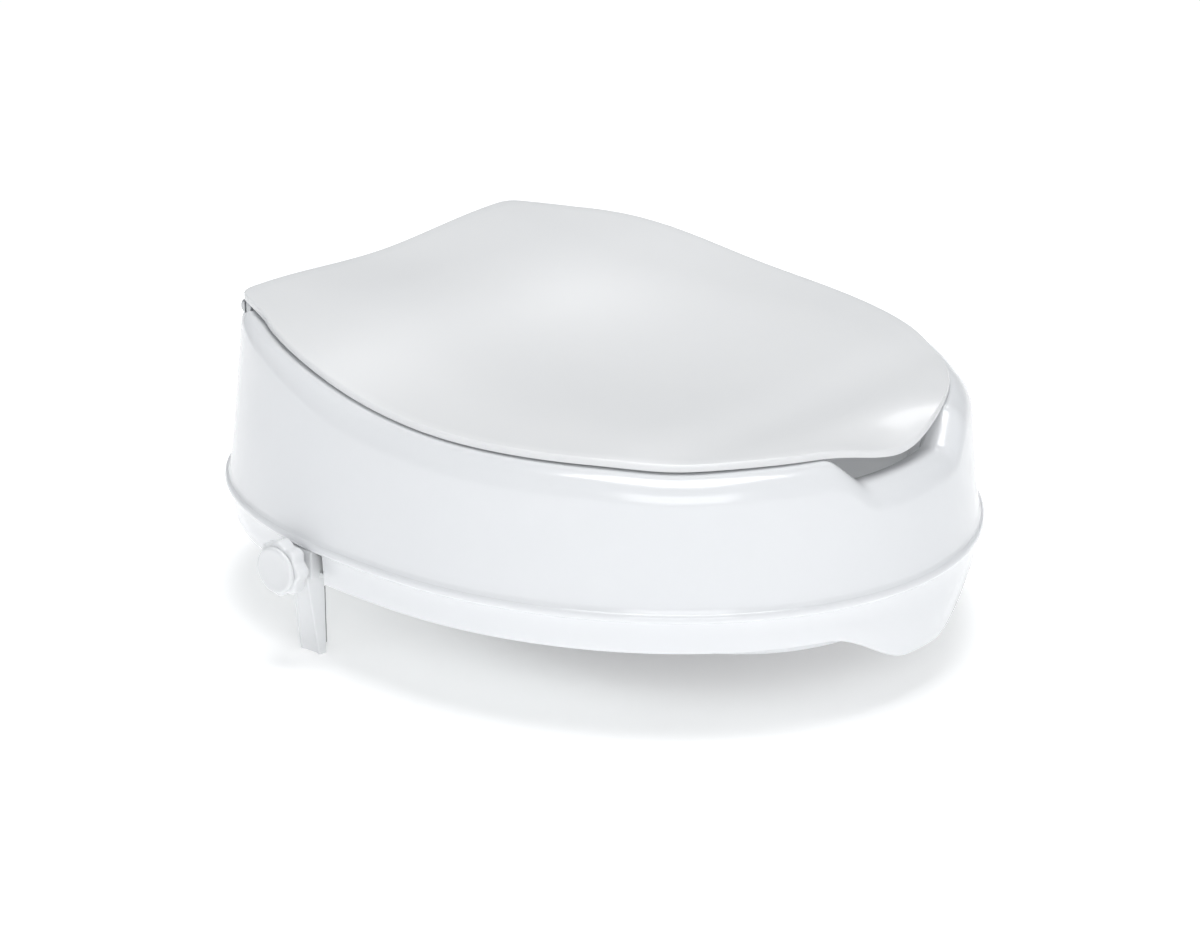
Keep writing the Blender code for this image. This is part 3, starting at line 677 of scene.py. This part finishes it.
def make_base_ring(finish):
    ring = tube("base_ring_moulding", [base_section(t) for t in steps(FINE)])
    adds = [radial_rib(angle) for angle in RIB_ANGLES]
    half = FLANGE_HALF + GAP + TUNNEL_WALL
    for _, side in SIDES:
        adds.append(side_block("tunnel", side, (BEARING_U[0], 0.1655),
                               (CLAMP_Y - half, CLAMP_Y + half),
                               (PLATE_Z[0], LEG_Z[1] + 0.0005 + TUNNEL_WALL)))
    combine(ring, adds, "UNION")
    cuts = tunnel_cuts(-1) + tunnel_cuts(1)
    for angle in SCREW_ANGLES:
        cuts.append(lathe("hole", [(0.02, 0), (0.02, SCREW_HOLE), (BEAD_Z, SCREW_HOLE), (BEAD_Z, 0)],
                          upright(*ring_middle(angle)), 32))
    combine(ring, cuts, "DIFFERENCE")
    return place_piece(ring, "seat", "base_ring", finish)


def make_base_screw(number, angle, finish):
    """Pan-head screw with a cross recess, driven up from below."""
    p = ring_middle(angle)
    under = BEAD_Z + PLATE_Z[0] - GAP
    head = 0.0017
    rim = 0.0038
    crest = 0.0018
    root = 0.0014
    half_lead = 0.00064
    profile = [(under - head, 0), (under - head, 0.0022), (under - head * 0.75, 0.0033),
               (under - 0.0003, rim), (under, rim), (under, crest)]
    for k in range(20):
        z = under + 0.0006 + k * half_lead
        profile.append((z, crest if k % 2 else root))
    profile += [(under + 0.0138, 0.0008), (under + 0.0142, 0)]
    screw = lathe("base_screw_%d_pan" % number, profile, upright(*p), 48)
    cuts = []
    for wide, deep in ((0.0021, 0.0004), (0.0004, 0.0021)):
        cuts.append(block("cross", (p.x - wide, p.y - deep, under - 0.003),
                          (p.x + wide, p.y + deep, under - 0.0007)))
    combine(screw, cuts, "DIFFERENCE")
    return place_piece(screw, "seat", "base_screw_%d" % number, finish)


def make_rest_pad(name, angle, finish):
    """Rubber pad with shallow drainage grooves in its foot."""
    p = ring_middle(angle)
    t = math.radians(angle)
    along = outline(t + 0.02, 0.01) - outline(t - 0.02, 0.01)
    high = BEAD_Z + PLATE_Z[0] - GAP
    low = BEAD_Z - SKIRT_DROP - 0.0025
    loop = soften([(-0.015, -0.006), (0.015, -0.006), (0.015, 0.006), (-0.015, 0.006)], 0.0044, 8,
                  closed=True)
    turn = Matrix.Translation((p.x, p.y, 0)) @ Matrix.Rotation(math.atan2(along.y, along.x), 4, "Z")
    levels = ((low, 0.94), (low + 0.0001, 0.97), (low + 0.0005, 1.0), (high - 0.0003, 1.0),
              (high, 0.98))
    sections = [[turn @ Vector((q.x * k, q.y * k, z)) for q in loop] for z, k in levels]
    pad = tube("rest_pad_%s_rubber" % name, sections, closed=False)
    cuts = []
    for x in (-0.009, -0.003, 0.003, 0.009):
        groove = block("groove", (x - 0.0006, -0.01, low - 0.002), (x + 0.0006, 0.01, low + 0.0008))
        groove.data.transform(turn)
        cuts.append(groove)
    combine(pad, cuts, "DIFFERENCE")
    return place_piece(pad, "seat", "rest_pad_" + name, finish)


# ---------------------------------------------------------------- lid and hinge

def lid_ear(side):
    width = EAR_X[1] - EAR_X[0]
    r = KNUCKLE_RADIUS
    half = [(HINGE_Y + r * math.cos(a), HINGE_Z + r * math.sin(a)) for a in fan(180, 360, 17)]
    loop = half + [(HINGE_Y + r - 0.0006, 0.0972), (HINGE_Y - r - 0.004, 0.0972)]
    middle = Vector((HINGE_Y, HINGE_Z + 0.002))
    sections = []
    for u, squeeze in ((0, 0.0005), (0.0002, 0.0001), (0.0006, 0), (width - 0.0006, 0),
                       (width - 0.0002, 0.0001), (width, 0.0005)):
        ring = [Vector(p) + (middle - Vector(p)).normalized() * squeeze for p in loop]
        sections.append([(side * (EAR_X[0] + u), p.x, BEAD_Z + p.y) for p in ring])
    return tube("ear", sections, closed=False)


def make_lid(finish):
    """Curved plate that follows the rim, with a rounded edge and two ears."""
    bm = bmesh.new()
    middle = Vector((0, -0.02))
    loop = lid_plan(FINE)
    rows = [(0.0012 * (1 - math.sin(a)), 0.0012 * (1 - math.cos(a))) for a in fan(0, 90, 6)]
    rows += [(0.0004 * (1 - math.cos(a)), LID_THICK + LID_LIP - 0.0004 * (1 - math.sin(a)))
             for a in fan(0, 90, 4)]
    rows += [(0.0020, LID_THICK + LID_LIP), (0.0030, LID_THICK)]
    shares = [1 - LID_RING_STEP * k for k in range(1, LID_RINGS + 1)]

    def band(share, inset, depth):
        ring = []
        for p in loop:
            q = middle + (p - middle) * share - (p - middle).normalized() * inset
            ring.append(bm.verts.new((q.x, q.y, BEAD_Z + lid_top(q.x, q.y) - depth)))
        return ring

    bands = [band(share, 0, 0) for share in reversed(shares)]
    bands += [band(1.0, inset, depth) for inset, depth in rows]
    bands += [band(share, 0, LID_THICK) for share in shares]
    for one, two in zip(bands, bands[1:]):
        for i in range(FINE):
            j = (i + 1) % FINE
            bm.faces.new((one[i], one[j], two[j], two[i]))
    for ring, depth in ((bands[0], 0), (bands[-1], LID_THICK)):
        centre = bm.verts.new((*middle, BEAD_Z + lid_top(*middle) - depth))
        for i in range(FINE):
            bm.faces.new((centre, ring[i], ring[(i + 1) % FINE]))
    lid = finish_mesh(bm, "lid_moulding")
    combine(lid, [lid_ear(side) for _, side in SIDES], "UNION")
    combine(lid, [pin_bore(side) for _, side in SIDES], "DIFFERENCE")
    return place_piece(lid, "lid", "lid", finish)


def make_lid_buffer(name, x, y, finish):
    """Soft button with a domed foot."""
    corners = [(a, b) for a in (-0.005, 0.005) for b in (-0.005, 0.005)]
    high = BEAD_Z + min(lid_top(x + a, y + b) for a, b in corners) - LID_THICK - GAP
    low = BEAD_Z + rim_height(x, y) + 0.0004
    tall = high - low
    profile = [(low, 0)] + [(low + 0.45 * tall * (1 - math.cos(a)), 0.0042 * math.sin(a) ** 0.8)
                            for a in fan(15, 90, 8)]
    profile += [(low + 0.5 * tall, 0.0045), (high - 0.0002, 0.0045), (high, 0.0043), (high, 0)]
    piece = lathe("lid_buffer_%s_button" % name, profile, upright(x, y), 48)
    return place_piece(piece, "lid", "lid_buffer_" + name, finish)


def make_hinge_pin(name, side, finish):
    r = PIN_RADIUS
    end = EAR_X[0] - 0.0025
    head = LUG_X[1] + GAP
    profile = [(end, 0), (end, 0.0019), (end + 0.0006, r), (head, r), (head, 0.0040),
               (head + 0.0003, KNUCKLE_RADIUS), (head + 0.0013, KNUCKLE_RADIUS),
               (head + 0.0018, 0.0037), (head + 0.0021, 0.0026), (head + 0.0021, 0)]
    pin = lathe("hinge_pin_%s_turned" % name, profile, across_seat(side, HINGE_Y, HINGE_Z), 64)
    slot = side_block("slot", side, (head + 0.0009, head + 0.01),
                      (HINGE_Y - 0.0007, HINGE_Y + 0.0007), (HINGE_Z - 0.005, HINGE_Z + 0.005))
    combine(pin, [slot], "DIFFERENCE")
    return place_piece(pin, "seat", "hinge_pin_" + name, finish)


def split_ring(name, place, along, radii, mouth, count=72):
    """Spring clip: a flat ring with a mouth, its edges softened."""
    loop = soften([(along[0], radii[0]), (along[0], radii[1]), (along[1], radii[1]),
                   (along[1], radii[0])], 0.0003, 3, closed=True)
    sections = []
    for k in range(count + 1):
        a = math.radians(mouth / 2 + (360 - mouth) * k / count)
        sections.append([place(p.x, p.y * math.cos(a), p.y * math.sin(a)) for p in loop])
    return tube(name, sections, closed=False)


# ---------------------------------------------------------------- screw clamps

def arm_section(side, z, outer_u, outer_half, squeeze=0.0):
    """Arm cut level: wide inner face and an outer face sunk between two edge ribs."""
    rib = outer_half - 0.0022
    sunk = outer_u - 0.0006
    loop = [(ARM_INNER_U, -0.008), (outer_u, -outer_half), (outer_u, -rib - 0.0006), (sunk, -rib),
            (sunk, rib), (outer_u, rib + 0.0006), (outer_u, outer_half), (ARM_INNER_U, 0.008)]
    middle = Vector(((ARM_INNER_U + outer_u) / 2, 0))
    made = []
    for p in soften(loop, 0.0006, 3, closed=True):
        q = p + (middle - p).normalized() * squeeze
        made.append((side * q.x, CLAMP_Y + q.y, BEAD_Z + z))
    return made


def make_jaw(name, side, finish):
    leg = side_block("clamp_jaw_%s_moulding" % name, side, LEG_U,
                     (CLAMP_Y - LEG_HALF, CLAMP_Y + LEG_HALF), LEG_Z, 0.0010)
    flange = side_block("flange", side, (LEG_U[0], 0.162),
                        (CLAMP_Y - FLANGE_HALF, CLAMP_Y + FLANGE_HALF), FLANGE_Z, 0.0004)
    arm = tube("arm", [arm_section(side, -0.0100, ARM_TOP_U - 0.0002, 0.0062),
                       arm_section(side, -0.0215, ARM_TOP_U - 0.0009, 0.0062),
                       arm_section(side, -0.0420, 0.1762, 0.0068),
                       arm_section(side, -0.0640, ARM_FOOT_U + 0.0003, 0.0074),
                       arm_section(side, -0.0668, ARM_FOOT_U - 0.0002, 0.0073),
                       arm_section(side, ARM_FOOT_Z, ARM_FOOT_U - 0.0006, 0.0072, 0.0004)],
               closed=False)
    gusset_u = (0.1570, 0.1685)
    gusset_top = -0.0190
    curve = [(gusset_u[1], gusset_top), (gusset_u[1], -0.0262)]
    curve += [(gusset_u[0] + 0.0105 * math.sin(a), -0.0265 + 0.0066 * math.cos(a))
              for a in fan(88, 0, 9)]
    curve.append((gusset_u[0], gusset_top))
    gusset = tube("gusset", [[(side * u, CLAMP_Y + v, BEAD_Z + z) for u, z in curve]
                             for v in (-0.0065, 0.0065)], closed=False)
    combine(leg, [flange, arm, gusset], "UNION")
    r = SCREW_RADIUS + 0.0006
    half = NUT_FLAT / 2 + GAP
    bore = lathe("bore", [(0.10, 0), (0.10, r), (0.20, r), (0.20, 0)],
                 across_seat(side, CLAMP_Y, SCREW_Z))
    pocket = side_block("pocket", side, (NUT_U[0] - GAP, NUT_U[1] + GAP),
                        (CLAMP_Y - half, CLAMP_Y + half), (SCREW_Z - 0.0079, 0.01))
    combine(leg, [bore, pocket], "DIFFERENCE")
    return place_piece(leg, "jaw_" + name, "clamp_jaw_" + name, finish)


def make_jaw_pad(name, side, finish):
    """Rubber facing with level grooves inside a plain border."""
    outer = ARM_INNER_U - GAP
    inner = outer - 0.0022
    low, high = JAW_PAD_Z
    pad = side_block("jaw_pad_%s_rubber" % name, side, (inner, outer),
                     (CLAMP_Y - 0.0062, CLAMP_Y + 0.0062), JAW_PAD_Z, 0.0004)
    cuts = []
    for k in range(1, JAW_PAD_GROOVES + 1):
        level = low + (high - low) * k / (JAW_PAD_GROOVES + 1)
        cuts.append(side_block("groove", side, (inner - 0.002, inner + 0.0007),
                               (CLAMP_Y - 0.0052, CLAMP_Y + 0.0052),
                               (level - 0.0007, level + 0.0007)))
    combine(pad, cuts, "DIFFERENCE")
    return place_piece(pad, "jaw_" + name, "jaw_pad_" + name, finish)


def make_nut(name, side, finish):
    """Hexagon nut with turned chamfers on both faces."""
    bore = SCREW_RADIUS + GAP
    corner = NUT_FLAT / math.sqrt(3)
    loop = [(NUT_U[0], bore + 0.0004), (NUT_U[0], 0.0062), (NUT_U[0] + 0.0007, corner),
            (NUT_U[1] - 0.0007, corner), (NUT_U[1], 0.0062), (NUT_U[1], bore + 0.0004),
            (NUT_U[1] - 0.0004, bore), (NUT_U[0] + 0.0004, bore)]

    def hexagon(a, r):
        turn = (a + math.pi / 6) % (math.pi / 3) - math.pi / 6
        return min(r, NUT_FLAT / 2 / math.cos(turn))

    nut = lathe("clamp_nut_%s_hexagon" % name, loop, across_seat(side, CLAMP_Y, SCREW_Z), 96, 20,
                hexagon)
    return place_piece(nut, "jaw_" + name, "clamp_nut_" + name, finish)


def make_spindle(name, side, finish):
    """Threaded spindle with a thrust collar and plain ends."""
    r = SCREW_RADIUS
    collar = BEARING_U[1] + 0.0021
    smooth_end = collar + 0.0018
    rim = THRUST_COLLAR_RADIUS
    stations = [(SPINDLE_U[0], r - 0.0008), (SPINDLE_U[0] + 0.0008, r), (collar, r),
                (collar, rim - 0.0003), (collar + 0.0003, rim), (smooth_end - 0.0003, rim),
                (smooth_end, rim - 0.0003), (smooth_end, r)]
    turns = 10            # rings of points in one lead of the thread
    count = int((THREAD_END - smooth_end - 0.002) / THREAD_LEAD * turns)
    thread = [smooth_end + 0.002 + k * THREAD_LEAD / turns for k in range(count)]
    stations += [(u, r) for u in thread] + [(SPINDLE_U[1] - 0.0006, r), (SPINDLE_U[1], r - 0.0006)]
    place = across_seat(side, CLAMP_Y, SCREW_Z)
    around = 48
    sections = []
    for u, radius in stations:
        ring = []
        for a in steps(around):
            cut = 0.0
            if thread[0] < u < thread[-1]:
                wave = math.cos(2 * math.pi * u / THREAD_LEAD - a)
                cut = 0.0006 * smooth_step(wave, -0.35, 0.35)
            ring.append(place(u, (radius - cut) * math.cos(a), (radius - cut) * math.sin(a)))
        sections.append(ring)
    spindle = tube("spindle_%s_threaded" % name, sections, closed=False, sharp=40)
    return place_piece(spindle, "knob_" + name, "spindle_" + name, finish)


def make_washer(name, side, finish):
    loop = soften([(BEARING_U[1] + GAP, SCREW_RADIUS + GAP), (BEARING_U[1] + GAP, 0.0075),
                   (BEARING_U[1] + 0.0018, 0.0075), (BEARING_U[1] + 0.0018, SCREW_RADIUS + GAP)],
                  0.0003, 3, closed=True)
    washer = lathe("thrust_washer_%s_ring" % name, [tuple(p) for p in loop],
                   across_seat(side, CLAMP_Y, SCREW_Z))
    return place_piece(washer, "seat", "thrust_washer_" + name, finish)


def make_knob(name, side, finish):
    """Hand knob with eight shallow lobes and rounded rims."""
    bore = SCREW_RADIUS + GAP
    outer = soften([(KNOB_U[0], bore + 0.001), (KNOB_U[0], KNOB_RADIUS), (KNOB_U[1], KNOB_RADIUS),
                    (KNOB_U[1], bore + 0.001)], 0.0022, 7)
    loop = [tuple(p) for p in outer] + [(KNOB_U[1], bore), (KNOB_U[0], bore)]

    def lobes(a, r):
        share = smooth_step(r, 0.008, KNOB_RADIUS)
        return r + share * KNOB_LOBE_DEPTH * math.cos(KNOB_LOBES * a)

    knob = lathe("knob_%s_lobed" % name, loop, across_seat(side, CLAMP_Y, SCREW_Z), 192, 40, lobes)
    return place_piece(knob, "knob_" + name, "knob_" + name, finish)


def make_knob_cap(name, side, finish):
    """Plain disc with a soft shoulder and a faint dished face."""
    rim = CAP_RADIUS
    profile = [(KNOB_U[1] + GAP, 0), (KNOB_U[1] + GAP, rim - 0.0003), (KNOB_U[1] + 0.0006, rim)]
    profile += [(CAP_U - 0.0010 + 0.0010 * math.sin(a), rim - 0.0014 * (1 - math.cos(a)))
                for a in fan(0, 90, 9)]
    profile += [(CAP_U - 0.00005, rim - 0.0024), (CAP_U - 0.0003, rim - 0.0032),
                (CAP_U - 0.0004, 0.005), (CAP_U - 0.00045, 0)]
    cap = lathe("knob_cap_%s_disc" % name, profile, across_seat(side, CLAMP_Y, SCREW_Z), 128, 40)
    return place_piece(cap, "knob_" + name, "knob_cap_" + name, finish)


def make_clips(name, side, finish):
    knuckle = across_seat(side, HINGE_Y, HINGE_Z)
    clip = split_ring("hinge_clip_%s_spring" % name, knuckle, (EAR_X[0] - 0.0018, EAR_X[0] - GAP),
                      (PIN_HOLE, 0.0042), 40)
    place_piece(clip, "seat", "hinge_clip_" + name, finish)
    screw = across_seat(side, CLAMP_Y, SCREW_Z)
    clip = split_ring("spindle_clip_%s_spring" % name, screw,
                      (BEARING_U[0] - 0.0016, BEARING_U[0] - GAP), (SCREW_RADIUS + GAP, 0.0062), 50)
    place_piece(clip, "knob_" + name, "spindle_clip_" + name, finish)


# ---------------------------------------------------------------- stage, light and camera

CAMERA_AZIMUTH = -50.2
CAMERA_ELEVATION = 21.5
CAMERA_DISTANCE = 2.0
SENSOR_WIDTH = 36         # in millimetres, like the lens
LENS = 106.575
AIM_RIGHT = -0.00445
AIM_UP = 0.00540

FLOOR_Z = -0.0005
FLOOR_REACH = 40.0
FLOOR_GLOW = 0.41
GLOW_EDGE = (-0.12, 0.26) # distances from the middle between which the glow rises; the dimmer middle is a painted shadow under the seat
SKY_LOW = 0.50            # at the horizon
SKY_HIGH = 0.28           # overhead
LIGHTS = (                # name, azimuth, elevation, distance, size, watts
    ("key", -48, 25, 2.6, (1.3, 1.3), 17),
    ("over", 0, 88, 2.6, (1.3, 1.3), 34),
    ("far", 116, 47, 2.6, (1.0, 0.5), 5),
)


def camera_axes(azimuth, elevation):
    a = math.radians(azimuth)
    e = math.radians(elevation)
    back = Vector((math.sin(a) * math.cos(e), -math.cos(a) * math.cos(e), math.sin(e)))
    right = Vector((math.cos(a), math.sin(a), 0))
    return right, back.cross(right), back


def make_camera():
    right, up, back = camera_axes(CAMERA_AZIMUTH, CAMERA_ELEVATION)
    pivot = Vector((0, CENTRE_Y, BEAD_Z))
    data = bpy.data.cameras.new("camera")
    data.sensor_width = SENSOR_WIDTH
    data.lens = LENS
    data.clip_start = 0.05
    camera = bpy.data.objects.new("camera", data)
    bpy.context.scene.collection.objects.link(camera)
    camera.location = pivot + back * CAMERA_DISTANCE
    aim = pivot + right * AIM_RIGHT + up * AIM_UP
    camera.rotation_euler = (aim - camera.location).to_track_quat("-Z", "Y").to_euler()
    bpy.context.scene.camera = camera


def area_light(name, place, aim, size, power_w, colour=(1, 1, 1)):
    data = bpy.data.lights.new(name, "AREA")
    data.shape = "RECTANGLE"
    data.size, data.size_y = size
    data.energy = power_w
    data.color = colour
    light = bpy.data.objects.new(name, data)
    bpy.context.scene.collection.objects.link(light)
    light.location = place
    light.rotation_euler = (Vector(aim) - Vector(place)).to_track_quat("-Z", "Y").to_euler()


def make_floor():
    """Pale luminous table top, whose glow is weakest in the middle, where the seat stands, as a
    painted shadow under it.
    """
    bm = bmesh.new()
    bmesh.ops.create_grid(bm, x_segments=8, y_segments=8, size=FLOOR_REACH)
    floor = finish_mesh(bm, "floor")
    floor.location.z = FLOOR_Z
    made, tree, shader = nodes_of("pale_glowing_floor")
    colour = mix_colour(tree, spread(tree, noise(tree, 3, 2), 0, 1), (0.90, 0.905, 0.91),
                        (0.91, 0.91, 0.91))
    tree.links.new(colour, shader.inputs["Base Color"])
    shader.inputs["Roughness"].default_value = 0.9
    shader.inputs["Emission Color"].default_value = (1, 1, 1, 1)
    # painted light: the floor glows and lights the seat from below; its glow fades towards the middle
    # as a painted shadow under the seat
    place = tree.nodes.new("ShaderNodeTexCoord")
    reach = tree.nodes.new("ShaderNodeVectorMath")
    reach.operation = "LENGTH"
    tree.links.new(place.outputs["Object"], reach.inputs[0])
    glow = spread(tree, reach.outputs["Value"], 0.0, FLOOR_GLOW, *GLOW_EDGE)
    tree.links.new(glow, shader.inputs["Emission Strength"])
    floor.data.materials.append(made)


def make_world():
    """White tent, brighter towards the horizon than overhead."""
    world = bpy.data.worlds.new("studio")
    world.use_nodes = True
    tree = world.node_tree
    place = tree.nodes.new("ShaderNodeTexCoord")
    split = tree.nodes.new("ShaderNodeSeparateXYZ")
    tree.links.new(place.outputs["Generated"], split.inputs["Vector"])
    glow = spread(tree, split.outputs["Z"], SKY_LOW, SKY_HIGH, 0.0, 0.7)
    background = tree.nodes["Background"]
    background.inputs["Color"].default_value = (0.93, 0.965, 1.0, 1)
    tree.links.new(glow, background.inputs["Strength"])
    bpy.context.scene.world = world


def make_studio():
    make_floor()
    make_world()
    for name, azimuth, elevation, distance, size, watts in LIGHTS:
        _, _, back = camera_axes(azimuth, elevation)
        area_light(name, back * distance, (0, 0, 0.08), size, watts)
    bpy.context.scene.view_settings.view_transform = "Standard"
    make_camera()


# ---------------------------------------------------------------- assembly

def build():
    shell_white = plastic("shell_white", (0.822, 0.832, 0.848), (0.810, 0.822, 0.840), 0.20)
    lid_white = plastic("lid_white", (0.850, 0.854, 0.858), (0.838, 0.843, 0.849), 0.235, coat=0.2)
    clamp_white = plastic("clamp_white", (0.81, 0.818, 0.828), (0.79, 0.80, 0.812), 0.30, grain=0.05)
    base_white = plastic("base_white", (0.80, 0.82, 0.82), (0.75, 0.77, 0.77), 0.42, 0.05, 0.2)
    grey_rubber = rubber("grey_rubber")
    turned_steel = steel("turned_steel", (6, 1, 1))
    screw_steel = steel("screw_steel", (1, 1, 6))

    make_seat_shell(shell_white)
    make_base_ring(base_white)
    make_lid(lid_white)
    for name, (x, y) in BUFFERS.items():
        make_lid_buffer(name, x, y, grey_rubber)
    for number, angle in enumerate(SCREW_ANGLES, 1):
        make_base_screw(number, angle, screw_steel)
    for name, angle in PAD_ANGLES.items():
        make_rest_pad(name, angle, grey_rubber)
    for name, side in SIDES:
        make_hinge_pin(name, side, turned_steel)
        make_clips(name, side, turned_steel)
        make_washer(name, side, turned_steel)
        make_spindle(name, side, turned_steel)
        make_nut(name, side, turned_steel)
        make_jaw(name, side, clamp_white)
        make_jaw_pad(name, side, grey_rubber)
        make_knob(name, side, clamp_white)
        make_knob_cap(name, side, clamp_white)
    make_studio()


build()
